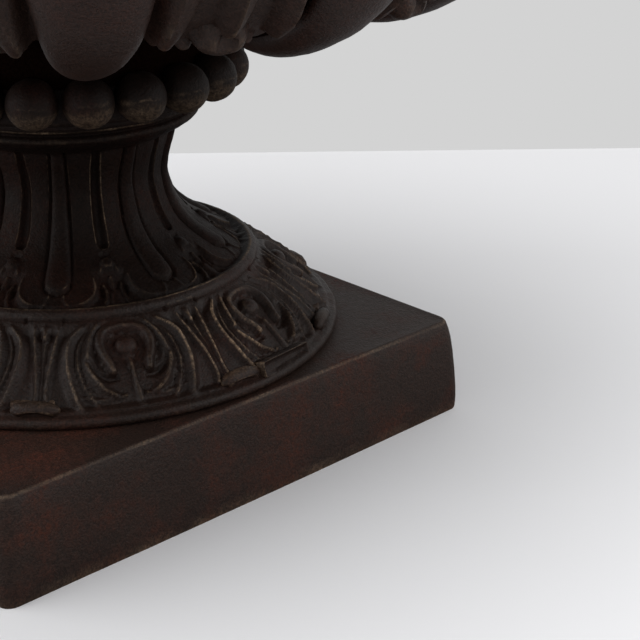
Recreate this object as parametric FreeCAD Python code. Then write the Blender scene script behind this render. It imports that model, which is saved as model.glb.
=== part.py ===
import FreeCAD, Part
import math
import os

from FreeCAD import Vector

# Cast-iron garden urn: a wide lobed bowl on a bead ring, a ribbed stem, a moulded foot and a square plinth.
# Millimetres, +Z up. The origin is the middle of the plinth's underside, and its front face looks to -Y.

# General values
overrun = 4.0  # how far a cutting tool runs past what it cuts
hole_clearance = 0.4  # radial room round each bolt and screw
washer_clearance = 0.6  # radial room between a washer and its bolt

# Plinth: a square casting, open beneath, whose sides flare outwards to the ground
plinth_top_side = 352.0
plinth_flare = 7.0  # how much further out each side stands at the ground
plinth_height = 64.5
plinth_corner_radius = 6.0
plinth_corner_facets = 3
plinth_arris = 1.6
plinth_wall = 9.0
plinth_plate = 9.0
plinth_drain_radius = 28.0

# Foot: a round casting from the plinth up to the bead ring
foot_radius = 172.5
foot_height = 151.0
foot_wall = 8.0  # iron left beneath the deepest groove
web_height = 96.0  # underside of the web across the neck, above the plinth
web_thickness = 10.0
web_drain_radius = 5.0
web_drain_circle_share = 0.209  # of the foot's radius
drains = 2
drain_degrees = 0.0

# A profile is the ornament round half a repeat at one station. Each point holds its share of the half
# repeat's turn, from the middle of the leaf, rib or lobe, and its share of the relief.
plain_shares = ((0.00, 0.00), (0.20, 0.00), (0.40, 0.00), (0.60, 0.00), (0.80, 0.00), (1.00, 0.00))

# Profiles of the foot's band: a veined leaf, then a keyhole shell round a ball at the far end
leaf_tip_shares = ((0.00, -0.10), (0.47, 0.05), (0.60, -0.60), (0.78, -0.65), (0.90, -0.60), (1.00, -0.15))
leaf_low_shares = ((0.00, -0.05), (0.39, 0.12), (0.54, -0.58), (0.77, -0.28), (0.88, -0.88), (1.00, -0.28))
leaf_ball_shares = ((0.00, -0.05), (0.35, 0.12), (0.52, -0.50), (0.74, -0.20), (0.83, -0.95), (1.00, 0.05))
leaf_top_shares = ((0.00, -0.05), (0.43, 0.10), (0.58, -0.50), (0.76, -0.40), (0.88, -0.25), (1.00, -0.20))

# Profiles of the stem: petals round the foot of each rib, then the rib between panels with a groove
petal_shares = ((0.00, -0.50), (0.20, -0.83), (0.42, -0.80), (0.62, -0.33), (0.80, -0.83), (1.00, -0.40))
rib_foot_shares = ((0.00, -0.20), (0.17, -0.25), (0.26, -1.00), (0.50, -0.70), (0.70, -0.25), (1.00, -0.65))
rib_low_shares = ((0.00, -0.07), (0.19, -0.15), (0.29, -0.93), (0.45, -0.57), (0.80, -0.57), (1.00, -0.57))
rib_shares = ((0.00, -0.07), (0.17, -0.12), (0.25, -0.93), (0.42, -0.57), (0.84, -0.57), (1.00, -1.05))
rib_high_shares = ((0.00, -0.07), (0.14, -0.12), (0.21, -0.93), (0.40, -0.57), (0.84, -0.57), (1.00, -1.05))

# Stations of the foot's skin from the plinth up: shares of its radius and height, its profile, and how many
# of the profile's points go into each one that is kept
foot_station_shares = (
    (0.988, 0.000, plain_shares, 2),
    (1.000, 0.030, plain_shares, 2),
    (0.968, 0.051, plain_shares, 1),
    (0.951, 0.081, leaf_tip_shares, 1),
    (0.880, 0.164, leaf_low_shares, 1),
    (0.793, 0.240, leaf_ball_shares, 1),
    (0.737, 0.279, leaf_top_shares, 1),
    (0.693, 0.303, plain_shares, 1),
    (0.670, 0.342, plain_shares, 1),
    (0.618, 0.373, petal_shares, 1),
    (0.548, 0.419, rib_foot_shares, 1),
    (0.471, 0.478, rib_low_shares, 1),
    (0.419, 0.549, rib_shares, 1),
    (0.386, 0.649, rib_shares, 1),
    (0.383, 0.765, rib_high_shares, 1),
    (0.409, 0.867, rib_high_shares, 1),
    (0.415, 0.891, plain_shares, 1),
    (0.482, 0.952, plain_shares, 2),
    (0.473, 0.978, plain_shares, 2),
    (0.492, 1.000, plain_shares, 2),
)
band_stations = 8  # the stations up to here belong to the band, the others to the stem
foot_hollow_stations = (0, 3, 5, 7, 9, 11, 13, 15, 19)
foot_hollow_facets = 24
foot_relief = 6.0

# The foot's ornament goes nine times round
foot_repeats = 9
band_degrees = 26.7  # from +X to the first leaf
stem_degrees = 28.4  # from +X to the first rib

# Lugs inside the foot's lowest ring, and the screws that hold the foot down on the plinth
lugs = 4
lug_degrees = 45.0
lug_side = 26.0
lug_height = 13.0
lug_circle_share = 0.858  # of the foot's radius
screw_radius = 5.0
screw_grip = 10.0  # how far a screw reaches into its lug
screw_hole_depth = 11.5
screw_head_radius = 9.5
screw_head_height = 7.0
screw_washer_side = 22.0
screw_washer_thickness = 2.0

# Bowl: its bead ring and neck, the lobed skin, then the cove and the rim
bowl_radius = 360.0
bowl_height = 224.5
bowl_wall = 9.0
bowl_floor = 10.0
bowl_recess_radius_share = 0.1945  # of the bowl's radius
bowl_recess_height = 44.0
bowl_drain_radius = 6.0
bowl_drain_circle_share = 0.1333  # of the bowl's radius
# Outline of the bead ring, the neck and the flare above it: shares of the bowl's radius and height
collar_outline_shares = (
    (0.236, 0.000), (0.268, 0.022), (0.272, 0.128), (0.256, 0.150), (0.256, 0.206), (0.360, 0.256),
    (0.455, 0.280),
)
collar_facets = 40

# Profiles of the lobed skin: a full round lobe, then a ridged leaf whose tip curls over
lobe_tip_shares = ((0.00, 0.38), (0.11, 0.33), (0.20, 0.19), (0.23, 0.00), (0.60, 0.00), (1.00, 0.00))
lobe_low_shares = ((0.00, 0.56), (0.15, 0.49), (0.28, 0.28), (0.33, 0.00), (0.60, 0.08), (1.00, 0.15))
leaf_curl_shares = ((0.00, 0.60), (0.17, 0.52), (0.30, 0.30), (0.35, 0.00), (0.62, 0.20), (1.00, 0.42))
lobe_swell_shares = ((0.00, 0.65), (0.18, 0.57), (0.32, 0.32), (0.37, 0.00), (0.62, 0.24), (1.00, 0.26))
lobe_middle_shares = ((0.00, 0.79), (0.20, 0.69), (0.35, 0.39), (0.40, 0.00), (0.64, 0.26), (1.00, 0.28))
lobe_full_shares = ((0.00, 0.92), (0.22, 0.80), (0.39, 0.45), (0.45, 0.00), (0.67, 0.26), (1.00, 0.28))
lobe_high_shares = ((0.00, 0.98), (0.23, 0.85), (0.41, 0.48), (0.47, 0.00), (0.70, 0.20), (1.00, 0.22))

# Stations of the lobed skin, as the foot's are
bowl_station_shares = (
    (0.462, 0.280, plain_shares, 2),
    (0.500, 0.294, lobe_tip_shares, 1),
    (0.644, 0.358, lobe_low_shares, 1),
    (0.683, 0.392, leaf_curl_shares, 1),
    (0.722, 0.445, lobe_swell_shares, 1),
    (0.764, 0.541, lobe_middle_shares, 1),
    (0.797, 0.639, lobe_full_shares, 1),
    (0.832, 0.750, lobe_high_shares, 1),
    (0.850, 0.814, plain_shares, 2),
)
bowl_lobes = 12
lobe_degrees = -0.6  # from +X to the first lobe
bowl_relief = 24.0
# Outline of the cove and the rim above the lobes
rim_outline_shares = (
    (0.840, 0.814), (0.884, 0.822), (0.882, 0.842), (0.864, 0.862), (0.890, 0.906), (0.950, 0.932),
    (1.000, 0.958), (0.990, 1.000),
)
rim_inside_shares = ((0.842, 0.890), (0.925, 0.975))
brim_share = 0.950  # where the rim's flat top begins, of the bowl's radius
bowl_inside_stations = (1, 3, 5, 7)
round_facets = 48  # round the rim and the inside

# Beads round the ring beneath the bowl
beads = 20
bead_degrees = 9.0
bead_radius_share = 0.0422  # of the bowl's radius
bead_circle_share = 0.282  # of the bowl's radius
bead_height_share = 0.092  # of the bowl's height
bead_facets = 8
bead_rings = 3
bead_tilt_degrees = (-25.0, 78.0)  # of its innermost and outermost ring of facets

# Centre bolt with its washers and nut
bolt_radius = 8.0
bolt_head_radius = 14.0
bolt_head_height = 10.0
bolt_tail = 9.0
bolt_washer_side = 46.0
bolt_washer_thickness = 4.0
nut_radius = 14.0
nut_height = 13.0

# Places that follow from the sizes
foot_base = plinth_height
bowl_base = plinth_height + foot_height
bowl_floor_top = bowl_base + bowl_recess_height + bowl_floor
web_base = plinth_height + web_height
plate_underside = plinth_height - plinth_plate
lug_circle = foot_radius * lug_circle_share
web_drain_circle = foot_radius * web_drain_circle_share
bowl_recess_radius = bowl_radius * bowl_recess_radius_share
bowl_drain_circle = bowl_radius * bowl_drain_circle_share
bead_radius = bowl_radius * bead_radius_share
bead_circle = bowl_radius * bead_circle_share


def at(radius, degrees, height):
    """The place at a radius and an azimuth, measured from +X."""
    turn = math.radians(degrees)
    return Vector(radius * math.cos(turn), radius * math.sin(turn), height)


def outline(shares, radius, height, base):
    """Points of an outline in the XZ plane."""
    return [Vector(radius * share[0], 0, base + height * share[1]) for share in shares]


def outward(points, i):
    """The unit normal of an outline at a station, away from the axis when the outline climbs."""
    before = points[max(i - 1, 0)]
    after = points[min(i + 1, len(points) - 1)]
    along = (after - before).normalize()
    return Vector(along.z, 0, -along.x)


def inset(points, wall):
    """The outline, moved into the wall."""
    return [point - outward(points, i) * wall for i, point in enumerate(points)]


def facet(corners):
    """A flat face through its corners."""
    return Part.Face(Part.makePolygon(corners + corners[:1]))


def skin(rings):
    """A closed solid of flat facets between rings of points, with a flat cap at each end. A ring may have
    half as many points as its neighbour."""
    faces = [facet(rings[0]), facet(rings[-1])]
    for low, high in zip(rings, rings[1:]):
        count = max(len(low), len(high))
        for i in range(count):
            here = i * len(low) // count
            there = (i + 1) * len(low) // count
            below = i * len(high) // count
            above = (i + 1) * len(high) // count
            if there > here:
                faces.append(facet([low[here], low[there % len(low)], high[above % len(high)]]))
            if above > below:
                faces.append(facet([low[here], high[above % len(high)], high[below]]))
    shell = Part.Shell(faces)
    shell.sewShape()
    solid = Part.Solid(shell)
    if solid.Volume < 0:
        solid.reverse()
    return solid


def lathe(points, facets):
    """A facetted solid of revolution of an open outline, closed by flat discs at its ends."""
    return skin([[at(point.x, 360 * i / facets, point.z) for i in range(facets)] for point in points])


def all_round(profile, repeats, first_degrees):
    """Azimuths and relief shares of a profile, mirrored about each repeat's middle and carried all round."""
    half = 180 / repeats
    mirror_image = [(-turn, relief) for turn, relief in profile[-2:0:-1]]
    both_sides = mirror_image + list(profile)
    return [(first_degrees + 2 * half * k + half * turn, relief)
            for k in range(repeats) for turn, relief in both_sides]


def ornamented(stations, radius, height, base, repeats, degrees, relief):
    """A facetted skin on an outline, raised along the outline's normal by each station's profile."""
    points = outline(stations, radius, height, base)
    rings = []
    for i, station in enumerate(stations):
        normal = outward(points, i)
        ring = []
        for turn, share in all_round(station[2], repeats, degrees[i])[::station[3]]:
            place = points[i] + normal * relief * share
            ring.append(at(place.x, turn, place.z))
        rings.append(ring)
    return skin(rings)


def bead():
    """One facetted bead at the ring's +X side, its pole pointing outwards."""
    centre = Vector(bead_circle, 0, bowl_base + bowl_height * bead_height_share)
    rings = []
    for k in range(bead_rings + 1):
        low_tilt, high_tilt = bead_tilt_degrees
        tilt = math.radians(low_tilt + (high_tilt - low_tilt) * k / bead_rings)
        out = bead_radius * math.sin(tilt)
        around = bead_radius * math.cos(tilt)
        ring = []
        for i in range(bead_facets):
            turn = 2 * math.pi * i / bead_facets
            ring.append(centre + Vector(out, around * math.cos(turn), around * math.sin(turn)))
        rings.append(ring)
    return skin(rings)


def ring_of(shape, count, first_turn):
    """Copies of a shape round the Z axis, the first one turned from +X."""
    copies = []
    for i in range(count):
        copy = shape.copy()
        copy.rotate(Vector(0, 0, 0), Vector(0, 0, 1), first_turn + 360 * i / count)
        copies.append(copy)
    return copies


def post(radius, low, high, place=Vector(0, 0, 0)):
    """An upright cylinder between two heights."""
    return Part.makeCylinder(radius, high - low, Vector(place.x, place.y, low))


def hexagon(radius, low, high, place=Vector(0, 0, 0)):
    """An upright hexagonal prism whose corners lie on the radius."""
    corners = [Vector(place.x, place.y, 0) + at(radius, 60 * i, low) for i in range(7)]
    return Part.Face(Part.makePolygon(corners)).extrude(Vector(0, 0, high - low))


def rounded_square(side, height):
    """Corners of a level square with facetted round corners."""
    inner = side / 2 - plinth_corner_radius
    places = []
    for quarter in range(4):
        middle = Vector(0, 0, 0) + at(inner * math.sqrt(2), 45 + 90 * quarter, height)
        for i in range(plinth_corner_facets + 1):
            places.append(middle + at(plinth_corner_radius, 90 * quarter + 90 * i / plinth_corner_facets, 0))
    return places


def save(shape, name):
    """Writes one piece, or a group of like pieces, to its own file."""
    print(name, "valid" if shape.isValid() else "INVALID", len(shape.Solids), round(shape.Volume))
    shape.exportStep("parts/" + name + ".step")


def make_plinth():
    """The plinth's shell, with the drain and the screw holes in its top plate."""
    bottom_side = plinth_top_side + 2 * plinth_flare
    lean = 2 * plinth_flare / plinth_height
    shoulder = plinth_height - plinth_arris
    body = skin([rounded_square(bottom_side, 0), rounded_square(bottom_side - lean * shoulder, shoulder),
                 rounded_square(plinth_top_side - 2 * plinth_arris, plinth_height)])
    core_side = bottom_side - 2 * plinth_wall
    core = skin([rounded_square(core_side + lean * overrun, -overrun),
                 rounded_square(core_side - lean * plate_underside, plate_underside)])
    low = plate_underside - overrun
    high = plinth_height + overrun
    holes = [core, post(plinth_drain_radius, low, high)]
    hole = post(screw_radius + hole_clearance, low, high, Vector(lug_circle, 0, 0))
    return body.cut(holes + ring_of(hole, lugs, lug_degrees))


def make_foot():
    """The foot with its ornament, hollowed, with its web and its lugs."""
    degrees = [band_degrees if i < band_stations else stem_degrees for i in range(len(foot_station_shares))]
    body = ornamented(foot_station_shares, foot_radius, foot_height, foot_base, foot_repeats, degrees, foot_relief)
    points = outline(foot_station_shares, foot_radius, foot_height, foot_base)
    inner = inset([points[i] for i in foot_hollow_stations], foot_wall + foot_relief)
    low = foot_base - overrun
    high = bowl_base + overrun
    inner[0] = Vector(inner[0].x, 0, low)
    inner[-1] = Vector(inner[-1].x, 0, high)
    hollow = lathe(inner, foot_hollow_facets)
    hollow = hollow.cut(post(foot_radius, web_base, web_base + web_thickness))
    body = body.cut(hollow)
    lug = Part.makeBox(lug_side, lug_side, lug_height,
                       Vector(lug_circle - lug_side / 2, -lug_side / 2, foot_base))
    body = body.fuse(ring_of(lug, lugs, lug_degrees))
    tap = post(screw_radius + hole_clearance, low, foot_base + screw_hole_depth, Vector(lug_circle, 0, 0))
    holes = ring_of(tap, lugs, lug_degrees)
    web_low = web_base - overrun
    web_high = web_base + web_thickness + overrun
    holes.append(post(bolt_radius + hole_clearance, web_low, web_high))
    drain = post(web_drain_radius, web_low, web_high, Vector(web_drain_circle, 0, 0))
    holes += ring_of(drain, drains, drain_degrees)
    return body.cut(holes)


def make_bowl():
    """The bowl with its bead ring, lobes, leaves and rim, hollowed."""
    degrees = [lobe_degrees] * len(bowl_station_shares)
    lobed = ornamented(bowl_station_shares, bowl_radius, bowl_height, bowl_base, bowl_lobes, degrees, bowl_relief)
    stations = outline(bowl_station_shares, bowl_radius, bowl_height, bowl_base)
    collar = outline(collar_outline_shares, bowl_radius, bowl_height, bowl_base)
    rim = outline(rim_outline_shares, bowl_radius, bowl_height, bowl_base)
    solids = [lathe(collar, collar_facets), lathe(rim, round_facets)]
    body = lobed.fuse(solids + ring_of(bead(), beads, bead_degrees))
    brim_radius = bowl_radius * brim_share
    inside = [Vector(bowl_recess_radius, 0, bowl_floor_top)]
    inside += inset([stations[i] for i in bowl_inside_stations], bowl_wall)
    inside += outline(rim_inside_shares, bowl_radius, bowl_height, bowl_base)
    inside += [Vector(brim_radius, 0, rim[-1].z), Vector(brim_radius, 0, rim[-1].z + overrun)]
    low = bowl_base
    high = bowl_floor_top + overrun
    holes = [lathe(inside, round_facets),
             post(bowl_recess_radius, low - overrun, low + bowl_recess_height),
             post(bolt_radius + hole_clearance, low, high)]
    drain = post(bowl_drain_radius, low, high, Vector(bowl_drain_circle, 0, 0))
    holes += ring_of(drain, drains, drain_degrees)
    return body.cut(holes)


def washer(side, bore, low, thickness, place=Vector(0, 0, 0)):
    """A square plate washer."""
    corner = Vector(place.x - side / 2, place.y - side / 2, low)
    plate = Part.makeBox(side, side, thickness, corner)
    return plate.cut(post(bore, low - overrun, low + thickness + overrun, place))


os.makedirs("parts", exist_ok=True)
save(make_plinth(), "plinth")
save(make_foot(), "foot")
save(make_bowl(), "bowl")

# Centre bolt: its head sits on a washer on the bowl's floor, its nut pulls on a washer under the web
head_base = bowl_floor_top + bolt_washer_thickness
nut_top = web_base - bolt_washer_thickness
bolt_end = nut_top - nut_height - bolt_tail
head = hexagon(bolt_head_radius, head_base, head_base + bolt_head_height)
save(post(bolt_radius, bolt_end, head_base).fuse(head).removeSplitter(), "centre_bolt")
washer_bore = bolt_radius + washer_clearance
save(washer(bolt_washer_side, washer_bore, bowl_floor_top, bolt_washer_thickness), "centre_washer")
save(washer(bolt_washer_side, washer_bore, nut_top, bolt_washer_thickness), "web_washer")
nut = hexagon(nut_radius, nut_top - nut_height, nut_top)
bore = post(bolt_radius + hole_clearance, nut_top - nut_height - overrun, nut_top + overrun)
save(nut.cut(bore), "centre_nut")

# Foot screws, from under the plinth's plate up into the lugs, each on a washer
screw_place = Vector(lug_circle, 0, 0)
seat = plate_underside - screw_washer_thickness
screw = post(screw_radius, seat, foot_base + screw_grip, screw_place)
screw = screw.fuse(hexagon(screw_head_radius, seat - screw_head_height, seat, screw_place)).removeSplitter()
save(Part.makeCompound(ring_of(screw, lugs, lug_degrees)), "foot_screws")
screw_bore = screw_radius + washer_clearance
screw_washer = washer(screw_washer_side, screw_bore, seat, screw_washer_thickness, screw_place)
save(Part.makeCompound(ring_of(screw_washer, lugs, lug_degrees)), "foot_screw_washers")
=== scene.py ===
import math

import bmesh
import bpy
import numpy as np
from bpy.props import FloatProperty, FloatVectorProperty, PointerProperty
from bpy.types import Operator, Panel, PropertyGroup
from mathutils import Matrix, Vector, noise


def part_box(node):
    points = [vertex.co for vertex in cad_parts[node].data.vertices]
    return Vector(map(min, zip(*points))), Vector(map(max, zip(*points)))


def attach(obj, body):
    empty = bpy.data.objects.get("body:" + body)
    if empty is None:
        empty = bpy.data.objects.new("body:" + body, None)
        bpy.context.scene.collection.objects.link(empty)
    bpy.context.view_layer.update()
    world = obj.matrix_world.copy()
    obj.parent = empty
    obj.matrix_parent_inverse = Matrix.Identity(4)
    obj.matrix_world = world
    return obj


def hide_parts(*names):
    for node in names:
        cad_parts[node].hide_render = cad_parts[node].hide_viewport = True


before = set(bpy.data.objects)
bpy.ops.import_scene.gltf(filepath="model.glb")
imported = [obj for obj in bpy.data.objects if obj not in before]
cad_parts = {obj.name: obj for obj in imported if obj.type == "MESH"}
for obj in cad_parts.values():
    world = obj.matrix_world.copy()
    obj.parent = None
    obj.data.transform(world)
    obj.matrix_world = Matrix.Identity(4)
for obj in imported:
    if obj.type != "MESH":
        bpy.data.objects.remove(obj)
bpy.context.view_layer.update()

bl_info = {
    "name": "Cast-Iron Garden Urn",
    "version": (1, 0, 0),
    "blender": (4, 5, 0),
    "location": "View3D > Sidebar > Garden Urn",
    "description": "Lobed cast-iron urn on a ribbed stem, a leaf-moulded foot and a square plinth",
    "category": "Add Mesh",
}

# All shaping is done in millimetres, and a finished piece is scaled to metres
MM = 0.001

PLINTH_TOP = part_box("plinth")[1].z / MM
PLINTH_FOOT_SIDE = 2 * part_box("plinth")[1].x / MM

# How often the ornament repeats round the axis, and where its first repeat lies, in degrees from +X
FOOT_REPEATS = 9
FOOT_PITCH = 360 / FOOT_REPEATS
BAND_TURN = 26.7
STEM_TURN = 28.4
LOBES = 12
LOBE_TURN = -0.9
LEAF_TURN = 180 / LOBES
BEADS = 20

# The photograph's camera, in metres and radians
CAMERA_PLACE = Vector((-0.5282, -0.7861, 0.4526))
CAMERA_TURN = math.radians(46.3)
CAMERA_TILT = 0.3969
CAMERA_LENS = 84.375
CAMERA_AHEAD = Vector((math.cos(CAMERA_TURN), math.sin(CAMERA_TURN), 0))
CAMERA_RIGHT = Vector((math.sin(CAMERA_TURN), -math.cos(CAMERA_TURN), 0))


def linear(code):
    """An sRGB hex colour as linear red, green and blue."""
    parts = [int(code[i:i + 2], 16) / 255 for i in (1, 3, 5)]
    return tuple(p / 12.92 if p <= 0.04045 else ((p + 0.055) / 1.055) ** 2.4 for p in parts)


def length(name, description, millimetres, least, most):
    """A length property, given in millimetres."""
    return FloatProperty(name=name, description=description, default=millimetres * MM,
                         min=least * MM, max=most * MM, unit="LENGTH")


def tint(name, description, code):
    """A colour property, given as an sRGB hex colour."""
    return FloatVectorProperty(name=name, description=description, subtype="COLOR", size=3,
                               default=linear(code), min=0.0, max=1.0)


class UrnSizes(PropertyGroup):
    """Depths of the ornament and other sizes of the castings."""

    rib_relief: length("Stem Rib Relief", "How far the stem's ribs stand out", 5.2, 0, 10)
    tip_length: length("Leaf Tip Length", "Length of the rolled tips along the foot's edge", 29.0, 10, 60)
    ridge_relief: length("Leaf Ridge Relief", "How far the ridges of the foot's leaves stand out", 5.4, 0, 10)
    shell_relief: length("Keyhole Relief", "How far the balls in the foot's keyhole shells stand out",
                         6.0, 0, 10)
    lobe_relief: length("Lobe Relief", "How far the bowl's lobes stand out at their fullest", 24.0, 0, 40)
    leaf_relief: length("Bowl Leaf Relief", "How far the folds of the bowl's leaves stand out", 8.0, 0, 20)
    bead_radius: length("Bead Radius", "Radius of the beads under the bowl", 15.1, 5, 20)
    casting_waviness: length("Casting Waviness", "How uneven the sand-cast skin is", 0.30, 0, 2)


class UrnColours(PropertyGroup):
    """Colours of the castings, the fasteners and the stage."""

    paint: tint("Paint", "Weathered brown-black paint", "#241510")
    paint_worn: tint("Worn Paint", "Greyer, chalked paint on faces that weather", "#2e211b")
    rust: tint("Rust", "Red-brown rust that shows through the paint", "#4a2214")
    # This tan is also used for painted highlights and painted light: on the plinth's arris, the leaf tips'
    # tops, the beads' lower halves and the most worn place
    edge: tint("Edge Wear", "Tan rubbed metal and dust on raised edges", "#a48a70")
    steel: tint("Fastener Zinc", "Dull zinc of the bolt, screws and washers", "#8d8b86")
    floor: tint("Floor", "Pale floor", "#eeeef0")
    backdrop: tint("Backdrop", "Grey seen behind the floor", "#d3d3d3")


# Outlines and meshes

def smooth(points, pieces):
    """Points along a smooth curve through given points, each span in so many pieces."""
    points = [tuple(p) for p in points]
    out = [points[0]]
    for i in range(len(points) - 1):
        before = points[max(i - 1, 0)]
        after = points[min(i + 2, len(points) - 1)]
        a, b = points[i], points[i + 1]
        for k in range(1, pieces + 1):
            t = k / pieces
            out.append(tuple(
                0.5 * (2 * q + (r - p) * t + (2 * p - 5 * q + 4 * r - s) * t * t
                       + (3 * q - p - 3 * r + s) * t ** 3)
                for p, q, r, s in zip(before, a, b, after)))
    return out


def ways_along(line):
    """The way along a line at each of its points."""
    return np.concatenate([[0], np.cumsum(np.hypot(*np.diff(line, axis=0).T))])


def spaced(points, step):
    """The same line with its points evenly spaced, about one step apart."""
    line = np.array(points, float)
    ways = ways_along(line)
    count = max(2, int(round(ways[-1] / step)) + 1)
    at = np.linspace(0, ways[-1], count)
    places = np.stack([np.interp(at, ways, line[:, k]) for k in range(2)], axis=1)
    return [tuple(p) for p in places]


def outline(runs, step):
    """One line of evenly spaced points from runs that are smooth inside and meet at corners."""
    line = []
    for run in runs:
        part = spaced(smooth(run, 6) if len(run) > 2 else run, step)
        line += part if not line else part[1:]
    return line


def spin(bm, geom, degrees, steps, copies=False):
    """Sweeps geometry about the urn's axis, or copies it round."""
    bmesh.ops.spin(bm, geom=geom, cent=(0, 0, 0), axis=(0, 0, 1), dvec=(0, 0, 0), angle=math.radians(degrees),
                   steps=steps, use_merge=False, use_duplicate=copies)


def turn_all(bm, degrees, axis="Z"):
    """Turns the whole mesh about an axis through the origin."""
    turn = Matrix.Rotation(math.radians(degrees), 3, axis)
    bmesh.ops.rotate(bm, verts=bm.verts, cent=(0, 0, 0), matrix=turn)


def turned(degrees, axis="Z"):
    """The matrix of a turn."""
    return Matrix.Rotation(math.radians(degrees), 4, axis)


def round_edges(bm, edges, radius, segments):
    """Rounds edges and returns what the bevel made."""
    return bmesh.ops.bevel(bm, geom=edges, offset=radius, affect="EDGES", segments=segments, profile=0.5,
                           material=-1)


class Lathe:
    """An outline spun about the axis. Its carved side is raised along its own normals."""

    def __init__(self, carved, back, repeats, steps):
        self.carved = np.array(carved, float)
        self.back = [tuple(p) for p in back]
        self.repeats = repeats
        self.steps = steps
        self.ways = ways_along(self.carved)
        along = np.gradient(self.carved, axis=0)
        along /= np.linalg.norm(along, axis=1)[:, None]
        self.normals = np.stack([along[:, 1], -along[:, 0]], axis=1)

    def radius_at(self, way):
        return np.interp(way, self.ways, self.carved[:, 0])

    def way_at(self, height):
        return float(np.interp(height, self.carved[:, 1], self.ways))

    def way_of(self, point):
        """The way at the station nearest a point."""
        return float(self.ways[int(np.argmin(np.abs(self.carved - point).sum(axis=1)))])

    def raise_skin(self, bm, relief):
        """Moves the carved side's points out along its normals."""
        co = np.array([v.co for v in bm.verts])
        turns = np.degrees(np.arctan2(co[:, 1], co[:, 0]))
        radii = np.hypot(co[:, 0], co[:, 1])
        across = radii[:, None] - self.carved[None, :, 0]
        above = co[:, 2, None] - self.carved[None, :, 1]
        gap = across ** 2 + above ** 2
        station = np.argmin(gap, axis=1)
        on_skin = gap[np.arange(len(co)), station] < 1e-4
        lift = np.where(on_skin, relief(turns, self.ways[station], self.carved[station, 0]), 0)
        out = self.normals[station]
        radii = radii + lift * out[:, 0]
        co[:, 2] += lift * out[:, 1]
        co[:, 0] = radii * np.cos(np.radians(turns))
        co[:, 1] = radii * np.sin(np.radians(turns))
        for v, p in zip(bm.verts, co):
            v.co = p

    def build(self, relief=None, first_turn=0.0):
        """Spins one repeat, raises it, and copies it round."""
        bm = bmesh.new()
        chain = [tuple(p) for p in self.carved] + self.back
        verts = [bm.verts.new((p[0], 0, p[1])) for p in chain]
        for a, b in zip(verts, verts[1:] + verts[:1]):
            bm.edges.new((a, b))
        pitch = 360 / self.repeats
        spin(bm, bm.verts[:] + bm.edges[:], pitch, self.steps)
        if relief:
            self.raise_skin(bm, relief)
        if self.repeats > 1:
            spin(bm, bm.verts[:] + bm.edges[:] + bm.faces[:], 360 - pitch, self.repeats - 1, copies=True)
        if first_turn:
            turn_all(bm, first_turn)
        bmesh.ops.remove_doubles(bm, verts=bm.verts, dist=0.02)
        bmesh.ops.recalc_face_normals(bm, faces=bm.faces)
        return bm


def line_field(lathe, lines, turn, way, radius):
    """Height over every point of ridges that follow lines. A line holds its lift, the power of its section
    and its points, each with a turn in degrees, a way along the outline and a half width. A power above zero
    makes a round ridge, and one below zero a sharp crest with hollow flanks."""
    pitch = 360 / lathe.repeats
    field = np.zeros(len(turn))
    for lift, power, points in lines:
        path = np.array(smooth(points, 5) if len(points) > 2 else points, float)
        middle = (path[:, 0].min() + path[:, 0].max()) / 2
        off = np.radians((turn - middle + pitch / 2) % pitch - pitch / 2)
        x = off * radius
        px = np.radians(path[:, 0] - middle) * lathe.radius_at(path[:, 1])
        reach = path[:, 2].max()
        near = (np.abs(way - np.clip(way, path[:, 1].min(), path[:, 1].max())) < reach) & (
            np.abs(x - np.clip(x, px.min(), px.max())) < reach)
        if not near.any():
            continue
        xs, ws = x[near], way[near]
        best = np.ones(len(xs))
        for i in range(len(path) - 1):
            dx, dw = px[i + 1] - px[i], path[i + 1, 1] - path[i, 1]
            length2 = dx * dx + dw * dw + 1e-9
            t = np.clip(((xs - px[i]) * dx + (ws - path[i, 1]) * dw) / length2, 0, 1)
            wide = path[i, 2] + (path[i + 1, 2] - path[i, 2]) * t
            best = np.minimum(best, np.hypot(xs - px[i] - dx * t, ws - path[i, 1] - dw * t) / wide)
        bump = lift * ((1 - best * best) ** power if power > 0 else (1 - best) ** -power)
        keep = field[near]
        field[near] = np.where(np.abs(bump) > np.abs(keep), bump, keep)
    return field


def ease(x):
    """Nought to one with a soft start and a soft end."""
    t = np.clip(x, 0, 1)
    return t * t * (3 - 2 * t)


def moved(lines, centre, side=1):
    """The lines about a turn, or their mirror images where side is -1."""
    return [(lift, power, [(centre + side * p[0], p[1], p[2]) for p in points])
            for lift, power, points in lines]


def mirrored(lines, centre=0.0):
    """The lines and their mirror images about a turn."""
    return [both for line in lines for side in (1, -1) for both in moved([line], centre, side)]


def roughen(bm, amount, seed, size=11.0):
    """The slight unevenness of a sand casting."""
    if not amount:
        return
    bm.normal_update()
    shift = Vector((seed, 2.3 * seed, 0.7 * seed))
    for v in bm.verts:
        coarse = noise.noise(v.co / size + shift)
        fine = noise.noise(v.co / (0.35 * size) - shift)
        v.co += v.normal * (amount * (coarse + 0.5 * fine))


def finish_piece(bm, name, node, skin, sharp=45.0):
    """Makes the object in metres, rides it on the urn and hides its CAD node."""
    bmesh.ops.scale(bm, vec=(MM, MM, MM), verts=bm.verts)
    for f in bm.faces:
        f.smooth = True
    mesh = bpy.data.meshes.new(name)
    bm.to_mesh(mesh)
    bm.free()
    mesh.set_sharp_from_angle(angle=math.radians(sharp))
    mesh.materials.append(material(skin))
    piece = bpy.data.objects.new(name, mesh)
    bpy.context.scene.collection.objects.link(piece)
    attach(piece, "root")
    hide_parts(node)
    return piece


# Materials

def add_node(tree, kind, inputs=None, **settings):
    """Adds a node. Settings name its properties, and an input is a fixed value or another node's output."""
    node = tree.nodes.new(kind)
    for key, value in settings.items():
        setattr(node, key, value)
    for key, value in (inputs or {}).items():
        if isinstance(value, bpy.types.NodeSocket):
            tree.links.new(value, node.inputs[key])
        else:
            node.inputs[key].default_value = value
    return node


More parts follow.
